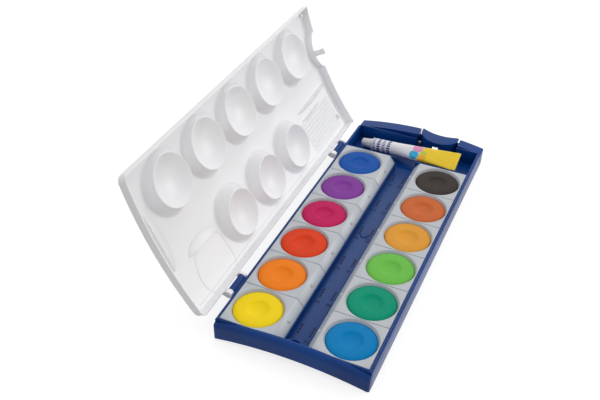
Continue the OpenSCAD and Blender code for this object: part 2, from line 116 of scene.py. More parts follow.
class PaintboxPanSizes(bpy.types.PropertyGroup):
    pitch: length("Pitch", "Distance from one pan to the next", 34)
    start: length("Start", "Near side of the first pans", -121.975)
    near_x: length("Channel side", "Middle of the box to a pan's channel side", 7.7)
    far_x: length("Wall side", "Middle of the box to a pan's wall side", 46.7)
    top: length("Top", "Height of the pans", 15.3)
    slope_w: length("Slope width", "Width of the slope on the channel side", 4.2)
    slope_h: length("Slope height", "Height of the slope on the channel side", 5.4)
    well_x: length("Well across", "Middle of the box to a well's middle", 29.8)
    well_r: length("Well radius", "Radius of a well's mouth", 16.3)
    tablet_r: length("Tablet radius", "Radius of a paint tablet", 15.2)
    tablet_z: length("Tablet edge", "Height of a tablet's edge", 14)
    dimple_r: length("Dimple radius", "Radius of the dimple in a tablet", 6.8)


class PaintboxLidSizes(bpy.types.PropertyGroup):
    near: length("Near end", "Near end of the closed lid", -126.375)
    far: length("Far end", "Far end of the closed lid", 115.675)
    top: length("Top", "Height of the closed lid in the middle", 25.05)
    rim: length("Rim", "Height of the closed lid's rim", 14.4)
    end_drop: length("End drop", "How much lower the end walls reach", 0.7)
    skin: length("Skin", "Thickness of the lid", 1.1)
    corner: length("Near corner", "Radius of the upright corners at the near end", 4.2)
    far_corner: length("Far corner", "Radius of the upright corners at the far end", 1.6)
    edge: length("Edge", "Rounding of the edge round the top", 1.6)
    notch_r: length("Notch radius", "Radius of the notch round the latch", 18)
    notch_x: length("Notch across", "Middle of the notch across the box", 15.5)
    notch_y: length("Notch along", "Middle of the notch along the box", 126.775)
    well_rim: length("Well rim", "Height of the closed lid's well rims", 15.75)
    well_r: length("Well radius", "Radius of an outer well's rim", 16.7)
    foot_r: length("Foot radius", "Radius of an outer well's foot", 18.6)
    lip: length("Well lip", "Width of a well's flat rim", 0.8)
    depth: length("Well depth", "Depth of a well's bowl", 5.4)
    smaller: length("Smaller", "How much smaller a hinge-side well is", 1.1)
    first_y: length("First well", "Place of the first well along the box", -92.275)
    pitch: length("Well pitch", "Distance from one well to the next", 42.4)
    outer_x: length("Outer wells", "Place of the outer wells across the box", 26)
    inner_x: length("Hinge-side wells", "Place of the hinge-side wells across", -24.5)
    angle: bpy.props.FloatProperty(
        name="Angle", description="How far the lid stands open",
        default=math.radians(116.2), unit="ROTATION", subtype="ANGLE")


class PaintboxTubeSizes(bpy.types.PropertyGroup):
    radius: length("Radius", "Radius of the tube", 4.9)
    long: length("Length", "Shoulder to tail", 69.7)
    fold: length("Fold", "Length of the folded tail", 3.5)
    tail_w: length("Tail", "Half width of the flat tail", 7.1)
    cap_r: length("Cap radius", "Radius of the cap at its wide end", 3.7)
    cap_l: length("Cap length", "Length of the cap", 8)


class PaintboxColours(bpy.types.PropertyGroup):
    tray: tint("Tray", "Blue of the tray's plastic", 5, 40, 96)
    tray_light: tint("Tray, light", "Blue where the plastic is thin", 12, 72, 150)
    # Paler than the tray's blue: partly the channel floor's own blue, partly painted sheen
    channel: tint("Channel", "Blue of the channel floor", 28, 66, 126)
    lid: tint("Lid", "Milky white of the lid", 246, 246, 248)
    pan: tint("Pan", "Grey of the pans", 182, 187, 193)
    ink: tint("Ink", "Dark ink of the numbers", 10, 20, 62)
    foil: tint("Tube", "White of the tube", 232, 232, 238)
    tail: tint("Tube's end", "Yellow of the tube's end", 252, 214, 30)
    tube_ink: tint("Tube's ink", "Dark blue of the tube's print", 40, 52, 130)
    cap: tint("Cap", "White of the cap", 214, 216, 216)
    paint_1: tint("Yellow", "First paint", 255, 220, 22)
    paint_2: tint("Orange", "Second paint", 248, 132, 26)
    paint_3: tint("Red", "Third paint", 226, 66, 28)
    paint_4: tint("Magenta", "Fourth paint", 196, 26, 92)
    paint_5: tint("Violet", "Fifth paint", 132, 60, 154)
    paint_6: tint("Blue", "Sixth paint", 14, 82, 168)
    paint_7: tint("Sky blue", "Seventh paint", 0, 128, 192)
    paint_8: tint("Teal", "Eighth paint", 0, 150, 116)
    paint_9: tint("Lime", "Ninth paint", 112, 194, 78)
    paint_10: tint("Ochre", "Tenth paint", 228, 158, 56)
    paint_11: tint("Brown", "Eleventh paint", 204, 104, 54)
    paint_12: tint("Black", "Twelfth paint", 58, 50, 46)


GROUPS = {"paintbox_tray": PaintboxTraySizes, "paintbox_pans": PaintboxPanSizes,
          "paintbox_lid": PaintboxLidSizes, "paintbox_tube": PaintboxTubeSizes,
          "paintbox_colours": PaintboxColours}


class Millimetres:
    """Reads a group of sizes in millimetres, which the meshes are shaped in."""

    def __init__(self, group):
        self.group = group

    def __getattr__(self, name):
        return getattr(self.group, name) / MM


def tray_sizes():
    return Millimetres(bpy.context.scene.paintbox_tray)


def pan_sizes():
    return Millimetres(bpy.context.scene.paintbox_pans)


def lid_sizes():
    return Millimetres(bpy.context.scene.paintbox_lid)


def tube_sizes():
    return Millimetres(bpy.context.scene.paintbox_tube)


def colour(name):
    """One of the box's colours, with its alpha."""
    return tuple(getattr(bpy.context.scene.paintbox_colours, name))


# Materials

def new_group(name, inputs, outputs):
    """An empty shader node group with its sockets."""
    tree = bpy.data.node_groups.new(name, "ShaderNodeTree")
    for label, kind, default in inputs:
        socket = tree.interface.new_socket(label, in_out="INPUT", socket_type=kind)
        socket.default_value = default
    for label, kind in outputs:
        tree.interface.new_socket(label, in_out="OUTPUT", socket_type=kind)
    return tree, tree.nodes.new("NodeGroupInput"), tree.nodes.new("NodeGroupOutput")


def feed(link, node, inputs):
    """Sets or links a node's inputs, which are given by name or place."""
    for key, value in inputs.items():
        if isinstance(value, bpy.types.NodeSocket):
            link(value, node.inputs[key])
        else:
            node.inputs[key].default_value = value
    return node


def calculate(new, link, operation, *values):
    """A Math node on numbers and sockets."""
    node = new("ShaderNodeMath")
    node.operation = operation
    return feed(link, node, dict(enumerate(values)))


def spread(new, link, value, low, high, start=0, end=1):
    """A value that runs from start to end, spread from low to high."""
    node = feed(link, new("ShaderNodeMapRange"),
                {"Value": value, "From Min": start, "From Max": end,
                 "To Min": low, "To Max": high})
    return node.outputs["Result"]


def noise(new, link, vector, scale, detail, roughness=0.5):
    """The value of a noise texture."""
    texture = feed(link, new("ShaderNodeTexNoise"),
                   {"Vector": vector, "Scale": scale, "Detail": detail, "Roughness": roughness})
    return texture.outputs["Fac"]


def moulded_group():
    """Moulded plastic: slow unevenness, a fine grain and faint scuffs."""
    if "Moulded surface" in bpy.data.node_groups:
        return bpy.data.node_groups["Moulded surface"]
    tree, inp, out = new_group(
        "Moulded surface",
        [("Grain scale", "NodeSocketFloat", 900.0), ("Wave scale", "NodeSocketFloat", 30.0)],
        [("Height", "NodeSocketFloat"), ("Wave", "NodeSocketFloat"), ("Scuff", "NodeSocketFloat")])
    new, link = tree.nodes.new, tree.links.new
    place = new("ShaderNodeTexCoord").outputs["Object"]
    grain = noise(new, link, place, inp.outputs["Grain scale"], 3)
    wave = noise(new, link, place, inp.outputs["Wave scale"], 2)
    stretch = feed(link, new("ShaderNodeMapping"),
                   {"Vector": place, "Rotation": (0, 0, 0.6), "Scale": (1, 0.12, 1)})
    scuff = noise(new, link, stretch.outputs["Vector"], 260, 5, 0.7)
    height = calculate(new, link, "MULTIPLY_ADD", grain, 0.25, wave)
    link(height.outputs[0], out.inputs["Height"])
    link(wave, out.inputs["Wave"])
    link(spread(new, link, scuff, 0, 1, 0.58, 0.72), out.inputs["Scuff"])
    return tree


def moulded_surface(new, grain, wave):
    """The moulded surface, placed in a material with its two scales."""
    surface = new("ShaderNodeGroup")
    surface.node_tree = moulded_group()
    surface.inputs["Grain scale"].default_value = grain
    surface.inputs["Wave scale"].default_value = wave
    return surface.outputs


def shader(name):
    """A new material with its Principled shader, and its tree's two makers."""
    material = bpy.data.materials.new(name)
    material.use_nodes = True
    tree = material.node_tree
    return material, tree.nodes["Principled BSDF"], tree.nodes.new, tree.links.new


def mix_colours(new, link, factor, first, second):
    """A colour between two, each given as a value or as a socket."""
    mix = new("ShaderNodeMix")
    mix.data_type = "RGBA"
    return feed(link, mix, {"Factor": factor, 6: first, 7: second}).outputs[2]


def press_in(new, link, bsdf, height, strength, depth=0.0003):
    """Lets a height show in the shader as bumps."""
    bumps = feed(link, new("ShaderNodeBump"),
                 {"Strength": strength, "Distance": depth, "Height": height})
    link(bumps.outputs["Normal"], bsdf.inputs["Normal"])


def moulded_plastic(name, base, lighter, rough, bump, wave=30.0, specular=0.5, subsurface=0.0,
                    glow=0.004):
    """Moulded plastic with grain, slow waves and scuffs."""
    material, bsdf, new, link = shader(name)
    surface = moulded_surface(new, 900, wave)
    link(mix_colours(new, link, surface["Wave"], base, lighter), bsdf.inputs["Base Color"])
    link(spread(new, link, surface["Scuff"], *rough), bsdf.inputs["Roughness"])
    press_in(new, link, bsdf, surface["Height"], bump)
    bsdf.inputs["Specular IOR Level"].default_value = specular
    if subsurface:
        bsdf.inputs["Subsurface Weight"].default_value = subsurface
        bsdf.inputs["Subsurface Radius"].default_value = (glow, glow, glow)
        bsdf.inputs["Subsurface Scale"].default_value = 1.0
    return material


def shade(rgba, factor):
    """A colour made darker or lighter."""
    return tuple(min(1.0, v * factor) for v in rgba[:3]) + (1,)


def tray_material():
    """The glossy dark blue of the tray and the latch."""
    return moulded_plastic("tray_blue", colour("tray"), colour("tray_light"),
                           (0.3, 0.42), 0.12, specular=0.18)


def paint_material(index):
    """Dry gouache: satin, faintly mottled, with fine pores."""
    base = colour(f"paint_{index + 1}")
    material, bsdf, new, link = shader(f"gouache_{PAN_NAMES[index]}")
    place = new("ShaderNodeTexCoord").outputs["Object"]
    mottle = noise(new, link, place, 160, 4)
    pores = noise(new, link, place, 1500, 2)
    link(mix_colours(new, link, mottle, shade(base, 0.95), shade(base, 1.05)),
         bsdf.inputs["Base Color"])
    link(spread(new, link, mottle, 0.3, 0.46), bsdf.inputs["Roughness"])
    height = calculate(new, link, "MULTIPLY_ADD", pores, 0.35, mottle)
    press_in(new, link, bsdf, height.outputs[0], 0.25)
    bsdf.inputs["Specular IOR Level"].default_value = 0.09
    return material


# One unit of the print's UV map, in millimetres
UV_MM = 100
# Printed spots on the tube in millimetres: place along it, place round it, radius, colour
PINK, CYAN = (0.78, 0.3, 0.52, 1), (0.02, 0.45, 0.75, 1)
LIME, ORANGE = (0.5, 0.66, 0.06, 1), (0.93, 0.5, 0.02, 1)
SPOTS = ((36.0, 3.2, 3.6, CYAN), (37.6, -3.4, 3.9, PINK), (42.5, 5.6, 3.4, ORANGE),
         (37.2, -9.8, 3.4, LIME), (43.0, -0.6, 2.7, LIME), (36.4, 12.0, 3.2, PINK),
         (43.4, -8.0, 2.4, CYAN), (38.8, -15.0, 3.0, ORANGE))
# Half width of a spot's soft edge, in UV units
SPOT_BLUR = 0.0008


def tube_material():
    """White lacquered foil with printed spots and a yellow end."""
    material, bsdf, new, link = shader("tube_foil_print")
    print_map = new("ShaderNodeUVMap")
    print_map.uv_map = "print"
    uv = print_map.outputs["UV"]
    parts = feed(link, new("ShaderNodeSeparateXYZ"), {"Vector": uv}).outputs
    tail = spread(new, link, parts["X"], 0, 1, 0.4, 0.404)
    value = mix_colours(new, link, tail, colour("foil"), colour("tail"))
    for along, round_, radius, ink in SPOTS:
        near = new("ShaderNodeVectorMath")
        near.operation = "DISTANCE"
        feed(link, near, {0: uv, 1: (along / UV_MM, round_ / UV_MM + 0.5, 0)})
        inside = spread(new, link, near.outputs["Value"], 0, 1,
                        radius / UV_MM + SPOT_BLUR, radius / UV_MM - SPOT_BLUR)
        value = mix_colours(new, link, inside, value, ink)
    # Rows of short dashes round the tube, near its shoulder
    around = calculate(new, link, "MULTIPLY", parts["Y"], 3)
    turned = feed(link, new("ShaderNodeCombineXYZ"), {"X": around.outputs[0], "Y": parts["X"]})
    dashes = new("ShaderNodeTexBrick")
    dashes.offset = 0.37
    dashes.squash = 0.6
    feed(link, dashes, {"Vector": turned.outputs["Vector"], "Scale": 1, "Brick Width": 0.056,
                        "Row Height": 0.042, "Mortar Size": 0.0085, "Mortar Smooth": 0.02})
    start = spread(new, link, parts["X"], 0, 1, 0.172, 0.17)
    printed = calculate(new, link, "MULTIPLY_ADD", dashes.outputs["Fac"], -1, start)
    printed.use_clamp = True
    value = mix_colours(new, link, printed.outputs[0], value, colour("tube_ink"))
    link(value, bsdf.inputs["Base Color"])
    surface = moulded_surface(new, 500, 90)
    press_in(new, link, bsdf, surface["Height"], 0.5, 0.0005)
    link(spread(new, link, surface["Wave"], 0.22, 0.42), bsdf.inputs["Roughness"])
    return material


# Mesh tools

def put(name, data):
    """A new object in the scene."""
    thing = bpy.data.objects.new(name, data)
    bpy.context.scene.collection.objects.link(thing)
    return thing


def finish_piece(name, bm, materials, body, replaces=(), sharp=35, bevel=0.0):
    """Turns the shaped mesh into a piece that rides on its body."""
    bmesh.ops.scale(bm, vec=(MM, MM, MM), verts=bm.verts)
    mesh = bpy.data.meshes.new(name)
    bm.to_mesh(mesh)
    bm.free()
    for polygon in mesh.polygons:
        polygon.use_smooth = True
    mesh.set_sharp_from_angle(angle=math.radians(sharp))
    for material in materials:
        mesh.materials.append(material)
    piece = put(name, mesh)
    if bevel:
        rounding = piece.modifiers.new("Rounded edges", "BEVEL")
        rounding.width = bevel * MM
        rounding.segments = 2
        rounding.limit_method = "ANGLE"
        rounding.angle_limit = math.radians(40)
        rounding.harden_normals = False
    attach(piece, body)
    if replaces:
        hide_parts(*replaces)
    return piece


def clean(bm):
    """Merges doubles and points the faces outwards."""
    bmesh.ops.remove_doubles(bm, verts=bm.verts, dist=0.002)
    bmesh.ops.recalc_face_normals(bm, faces=bm.faces)


def merge_into(bm, part):
    """Adds a finished part to a bigger mesh."""
    mesh = bpy.data.meshes.new("part")
    part.to_mesh(mesh)
    part.free()
    bm.from_mesh(mesh)
    bpy.data.meshes.remove(mesh)


def verts_in(made):
    """The vertices among what an operator made."""
    return [v for v in made if isinstance(v, bmesh.types.BMVert)]


def edges_in(made):
    """The edges among what an operator made."""
    return [e for e in made if isinstance(e, bmesh.types.BMEdge)]


def round_edges(bm, edges, offset, segments=3):
    """Rounds edges over."""
    bmesh.ops.bevel(bm, geom=edges, offset=offset, segments=segments, profile=0.5,
                    affect="EDGES", material=-1, clamp_overlap=True)


def cut_plane(bm, place, normal):
    """Cuts the whole mesh with one plane."""
    bmesh.ops.bisect_plane(bm, geom=bm.verts[:] + bm.edges[:] + bm.faces[:],
                           plane_co=place, plane_no=normal, dist=0.0001)


def block(low, high):
    """A mesh of one block, given by two corners."""
    part = bmesh.new()
    bmesh.ops.create_cube(part, size=1)
    bmesh.ops.scale(part, vec=[b - a for a, b in zip(low, high)], verts=part.verts)
    bmesh.ops.translate(part, vec=[(a + b) / 2 for a, b in zip(low, high)], verts=part.verts)
    return part


def slab(bm, low, high, bevel=0.0, material=0):
    """A block with rounded edges, added to a bigger mesh."""
    part = block(low, high)
    if bevel:
        round_edges(part, part.edges[:], bevel, 2)
    for face in part.faces:
        face.material_index = material
    clean(part)
    merge_into(bm, part)


def bar_along(bm, outline, y0, y1):
    """A closed bar from y0 to y1, given by its outline of (x, z)."""
    face = bm.faces.new([bm.verts.new((x, y0, z)) for x, z in outline])
    made = bmesh.ops.extrude_face_region(bm, geom=[face])["geom"]
    bmesh.ops.translate(bm, vec=(0, y1 - y0, 0), verts=verts_in(made))


def run_along(edge):
    """How far an edge runs along the box."""
    return abs(edge.verts[0].co.y - edge.verts[1].co.y)


def flat_face(bm, points, z=0.0):
    """One level face from its outline."""
    return bm.faces.new([bm.verts.new((x, y, z)) for x, y in points])


def raised(bm, face, height):
    """Pulls a face up and gives the new top face."""
    made = bmesh.ops.extrude_face_region(bm, geom=[face])["geom"]
    bmesh.ops.translate(bm, vec=(0, 0, height), verts=verts_in(made))
    return next(f for f in made if isinstance(f, bmesh.types.BMFace))


def cut_across(bm, start, end, step):
    """Cuts the mesh at even steps across the box, so that it can be bent."""
    count = max(1, round((end - start) / step))
    for i in range(1, count):
        cut_plane(bm, (start + (end - start) * i / count, 0, 0), (1, 0, 0))


def arch_drop(x):
    """How far the arch of the end bands and the lid has dropped at x."""
    radius = tray_sizes().arch
    return radius - math.sqrt(radius * radius - x * x)


def bend_to_arch(bm):
    """Bends level parts down to the arch."""
    for v in bm.verts:
        v.co.z -= arch_drop(v.co.x)


def spun(bm, section, centre=(0, 0, 0), steps=64, start=0.0, angle=2 * math.pi,
         axis="Z", closed=False, material=0, follow=None):
    """Turns a section of (radius, height) about an axis through the centre."""
    part = bmesh.new()
    verts = [part.verts.new((r, 0, z)) for r, z in section]
    edges = [part.edges.new(pair) for pair in zip(verts, verts[1:])]
    if closed:
        edges.append(part.edges.new((verts[-1], verts[0])))
    bmesh.ops.rotate(part, cent=(0, 0, 0), matrix=Matrix.Rotation(start, 3, "Z"), verts=verts)
    full = angle > 6.28
    bmesh.ops.spin(part, geom=verts + edges, cent=(0, 0, 0), axis=(0, 0, 1), dvec=(0, 0, 0),
                   angle=angle, steps=steps, use_merge=full, use_normal_flip=False,
                   use_duplicate=False)
    if closed and not full:
        bmesh.ops.holes_fill(part, edges=[e for e in part.edges if len(e.link_faces) == 1],
                             sides=0)
    clean(part)
    if follow:
        for v in part.verts:
            follow(v)
    turn = {"Z": Matrix.Identity(4), "X": Matrix.Rotation(math.pi / 2, 4, "Y"),
            "Y": Matrix.Rotation(-math.pi / 2, 4, "X")}[axis]
    bmesh.ops.transform(part, matrix=Matrix.Translation(centre) @ turn, verts=part.verts)
    for face in part.faces:
        face.material_index = material
    merge_into(bm, part)


def arc(cx, cy, radius, start, end, count):
    """Points on an arc, with the angles in degrees."""
    return [(cx + radius * math.cos(math.radians(start + (end - start) * i / count)),
             cy + radius * math.sin(math.radians(start + (end - start) * i / count)))
            for i in range(count + 1)]


def rounded_plan(x0, x1, y0, y1, radius, corners):
    """The outline of a rectangle with some of its corners rounded."""
    spots = {"x0y0": (x0, y0, 1, 1, 180), "x1y0": (x1, y0, -1, 1, 270),
             "x1y1": (x1, y1, -1, -1, 0), "x0y1": (x0, y1, 1, -1, 90)}
    points = []
    for key, (x, y, sx, sy, start) in spots.items():
        if key in corners:
            points += arc(x + sx * radius, y + sy * radius, radius, start, start + 90, 6)
        else:
            points.append((x, y))
    return points


# Tray

def band(bm, outline, outer_edges, face_y, inward, rounding):
    """An arched end band with a rounded outer edge."""
    t = tray_sizes()
    part = bmesh.new()
    bottom = flat_face(part, outline, t.crest - t.band_h)
    top = raised(part, bottom, t.band_h)
    part.normal_update()
    edges = [e for e in top.edges if outer_edges(e)]
    round_edges(part, edges, 0.45)
    clean(part)
    cut_across(part, -t.half_w, t.half_w, 4)
    for k in range(1, 9):
        across = face_y + inward * rounding * (1 - math.cos(math.radians(90 * k / 8)))
        cut_plane(part, (0, across, 0), (0, 1, 0))
    for v in part.verts:
        if v.co.z > t.crest - 1:
            inside = max(0.0, 1 - inward * (v.co.y - face_y) / rounding)
            v.co.z -= rounding * (1 - math.sqrt(max(0.0, 1 - inside * inside)))
    bend_to_arch(part)
    clean(part)
    merge_into(bm, part)


def long_wall(bm, side):
    """A long wall with its ledge and nest rim."""
    t = tray_sizes()
    section = [(t.half_w, 0), (t.half_w, t.ledge), (t.inner + t.rim_t, t.ledge),
               (t.inner + t.rim_t, t.rim), (t.inner, t.rim), (t.inner, 0)]
    part = bmesh.new()
    y0, y1 = t.near_in - 0.3, t.far_in - 1.8
    bar_along(part, [(side * x, z) for x, z in section], y0, y1)
    round_edges(part, [e for e in part.edges if run_along(e) > 1], 0.25)
    clean(part)
    merge_into(bm, part)
    for a, b in ((t.near + t.corner, t.near_in), (t.far_in - 1.9, t.far - t.corner)):
        lo, hi = sorted((side * t.inner, side * (t.half_w - 0.02)))
        slab(bm, (lo, a, 0), (hi, b, t.crest - t.band_h + 1), 0.25)


def barrel(bm, y):
    """A hinge barrel with its bore, and the web that carries it."""
    t = tray_sizes()
    half, r, edge = BARREL_HALF, BARREL_R, 0.3
    section = [(BORE_R, -half), (r - edge, -half), (r, -half + edge), (r, half - edge),
               (r - edge, half), (BORE_R, half)]
    spun(bm, section, (t.hinge_x, y, t.hinge_z), 32, axis="Y", closed=True)
    slab(bm, (t.hinge_x + 0.6, y - half, t.hinge_z - r),
         (-t.half_w + 0.3, y + half, t.hinge_z + 0.6), edge)


def build_tray():
    """The tray: walls, bands, rims, floors, foot, lip, boss and barrels."""
    t, p = tray_sizes(), pan_sizes()
    bm = bmesh.new()
    for side in (-1, 1):
        long_wall(bm, side)
    x0, x1 = GAP_X0, GAP_X1

    def near_outer(edge):
        return max(v.co.y for v in edge.verts) < t.near_in + 0.3 or run_along(edge) > 0.01

    def far_outer(edge):
        return min(v.co.y for v in edge.verts) > t.far_in + 0.1 or run_along(edge) > 0.01
    near_plan = rounded_plan(-t.half_w, t.half_w, t.near, t.near_in + 0.4, t.corner,
                             ("x0y0", "x1y0"))
    band(bm, near_plan, near_outer, t.near, 1, t.near_edge)
    for a, b, corner in ((-t.half_w, x0, "x0y1"), (x1, t.half_w, "x1y1")):
        far_plan = rounded_plan(a, b, t.far_in, t.far, t.corner, (corner,))
        band(bm, far_plan, far_outer, t.far, -1, t.far_edge)
    # The front strip below the latch
    part = block((x0 - 1.5, t.far - 1.4, -0.5), (x1 + 1.5, t.far, 0.5))
    cut_across(part, x0 - 1.5, x1 + 1.5, 4)
    for v in part.verts:
        v.co.z = 12.0 if v.co.z > 0 else t.crest - t.band_h - arch_drop(v.co.x)
    clean(part)
    merge_into(bm, part)
    # Nest rims and walls across the box
    underside, bay_underside = 2.6, 2.8
    inner = t.inner + t.rim_t
    slab(bm, (-inner, t.near_in, underside), (inner, t.near_in + t.rim_t, t.rim), 0.2)
    for a, b in ((-inner, x0), (x1, inner)):
        slab(bm, (a, t.bay_far, bay_underside), (b, t.bay_far + t.rim_t, t.rim), 0.2)
        slab(bm, (a + 0.9, t.bay_far + 0.5, 4),
             (b - 0.9 if b > 40 else b, t.far_in + 0.3, 12.4), 0.1)
    slab(bm, (x0 - 0.3, t.bay_far, bay_underside), (x1 + 0.3, t.far_in, 5.4), 0.2)
    # The plate under the latch, open where one looks through the catch's window
    for a, b, end in ((x0 - 1, 9, t.far - 0.7), (16.5, x1 + 1, t.far - 0.7), (8.9, 16.6, 116.3)):
        slab(bm, (a, t.far_in - 0.5, 4.2), (b, end, 5.3), 0.1)
    for a, b in ((-t.inner - 0.1, -p.near_x), (p.near_x, t.inner + 0.1)):
        slab(bm, (a, t.bay_near - 1, underside), (b, t.bay_near, t.rim - 0.4), 0.25)
    # Floors, the raised channel floor and the foot
    side, start = t.inner + 0.1, t.near_in + 0.2
    slab(bm, (-side, start, underside), (side, t.bay_near, t.floor))
    slab(bm, (-side, t.bay_near - 0.2, bay_underside), (side, t.far_in + 0.5, t.bay))
    half_channel, rail_x, rail_w = 7.5, 6.9, 0.7
    slab(bm, (-half_channel, start, 2.7), (half_channel, t.bay_near, t.channel), 0.1, material=1)
    for x in (-rail_x - rail_w, rail_x):
        slab(bm, (x, start, 3), (x + rail_w, t.bay_near - 0.9, t.channel_top), 0.15)
    foot_x, foot_y = 5.1, 12
    slab(bm, (-foot_x, -foot_y, 0), (foot_x, foot_y, 4.5), 0.4)
    # The half-round lip at the near end and the round boss
    lip = [(4.8, 5), (6, 5), (6, 15.5), (5.7, 15.8), (5.1, 15.8), (4.8, 15.5)]
    centre = (1.6, t.near_in - 1.5, 0)
    begin = math.radians(14)
    spun(bm, lip, centre, 24, begin, math.pi - 2 * begin, closed=True)
    spun(bm, [(0.01, 5), (6, 5), (6, 8), (0.01, 8)], centre, 24, begin,
         math.pi - 2 * begin, closed=True)
    z = t.channel
    spun(bm, [(0, z - 0.3), (3, z - 0.3), (3, z + 0.15), (2.8, z + 0.45), (2.4, z + 0.68),
              (1.9, z + 0.78), (1.5, z + 0.74), (1.2, z + 0.6), (0.8, z + 0.5), (0, z + 0.45)],
         (0, p.start + 3.5 * p.pitch, 0), 48, material=1)
    for y in BARRELS:
        barrel(bm, y)
    # The channel floor's satin material, whose paler blue is partly painted sheen
    satin = moulded_plastic("channel_satin", colour("channel"), shade(colour("channel"), 1.15),
                            (0.42, 0.5), 0.12, specular=0.3)
    return finish_piece("tray_shell", bm, (tray_material(), satin), "tray",
                        ("tray",))


def channel_numbers():
    """Plain numbers on the channel floor, one for each pan."""
    t, p = tray_sizes(), pan_sizes()
    bm = bmesh.new()
    for i in range(12):
        side = -1 if i < 6 else 1
        curve = bpy.data.curves.new("number", "FONT")
        curve.body = str(i + 1)
        curve.size = 4.8
        curve.align_x = "CENTER"
        curve.extrude = 0.02
        curve.offset = 0.08
        curve.resolution_u = 3
        thing = put("number", curve)
        bpy.context.view_layer.update()
        mesh = bpy.data.meshes.new_from_object(
            thing.evaluated_get(bpy.context.evaluated_depsgraph_get()))
        x = side * MARKS_X + 1.7
        y = p.start + (i % 6 + 0.5) * p.pitch - 5
        mesh.transform(Matrix.Translation((x, y, t.channel + 0.02))
                       @ Matrix.Rotation(math.pi / 2, 4, "Z"))
        bm.from_mesh(mesh)
        bpy.data.objects.remove(thing)
        bpy.data.curves.remove(curve)
        bpy.data.meshes.remove(mesh)
        for k in range(3):
            slab(bm, (side * MARKS_X - 0.6, y + 4.4 + 3.1 * k, t.channel - 0.1),
                 (side * MARKS_X + 0.6, y + 6.8 + 3.1 * k, t.channel + 0.04))
    ink = moulded_plastic("ink_navy", colour("ink"), shade(colour("ink"), 1.3), (0.5, 0.6), 0.05,
                          specular=0.2)
    return finish_piece("channel_numbers", bm, (ink,), "tray")


# Latch

def build_latch():
    """The thumb latch: a scooped pad, its belly wall and its root."""
    t = tray_sizes()
    cx, cy, r = PAD_X, PAD_Y, PAD_R
    bm = bmesh.new()
    scoop_r = (SCOOP_HALF * SCOOP_HALF + SCOOP_DEEP * SCOOP_DEEP) / (2 * SCOOP_DEEP)
    sx, sy = cx - 0.4, t.far - SCOOP_DEEP + scoop_r
    outline = arc(cx, cy, r, 180, 360, 40)
    outline.append((cx + r, t.far))
    reach = math.degrees(math.asin(SCOOP_HALF / scoop_r))
    outline += arc(sx, sy, scoop_r, -90 + reach, -90 - reach, 20)
    outline.append((cx - r, t.far))
    part = bmesh.new()
    face = flat_face(part, outline, t.crest - 1.3)
    raised(part, face, 1.3)
    clean(part)
    top = max(part.faces, key=lambda f: f.calc_center_median().z)
    round_edges(part, list(top.edges), 0.55, 4)
    cut_across(part, cx - r, cx + r, 3)
    bend_to_arch(part)
    clean(part)
    merge_into(bm, part)

    def to_arch(v):
        if v.co.z > 13.9:
            v.co.z = t.crest - 0.9 - arch_drop(cx + v.co.x)
    # The belly wall, from side to side with the catch's window in its middle
    low_z, high_z, window_low, window_high, wall = 7, 14, 9.5, 13.5, 1.3
    window = math.degrees(2.5 / r)
    for start, end, low, high in ((188, 270 - window, low_z, high_z),
                                  (270 + window, 352, low_z, high_z),
                                  (270 - window, 270 + window, low_z, window_low),
                                  (270 - window, 270 + window, window_high, high_z)):
        section = [(r - wall, low), (r, low), (r, high), (r - wall, high)]
        steps = max(4, round((end - start) / 5))
        spun(bm, section, (cx, cy, 0), steps, math.radians(start), math.radians(end - start),
             closed=True, follow=to_arch)
    # The root that it flexes about
    half, root_y, root_z = 7, 111.475, 5.5
    slab(bm, (cx - half, root_y - 0.65, root_z), (cx + half, root_y + 0.65, 7.3), 0.2)
    spun(bm, [(0, -half), (0.7, -half), (0.9, 0.2 - half), (0.9, half - 0.2), (0.7, half),
              (0, half)], (cx, root_y, root_z), 20, axis="X")
    return finish_piece("thumb_latch", bm, (tray_material(),), "latch", ("latch",))


# Pans

def pan_place(i):
    """Side, near edge and well middle of a pan."""
    p = pan_sizes()
    side = -1 if i < 6 else 1
    y = p.start + (i % 6) * p.pitch
    return side, y + PAN_GAP, side * p.well_x, y + p.pitch / 2


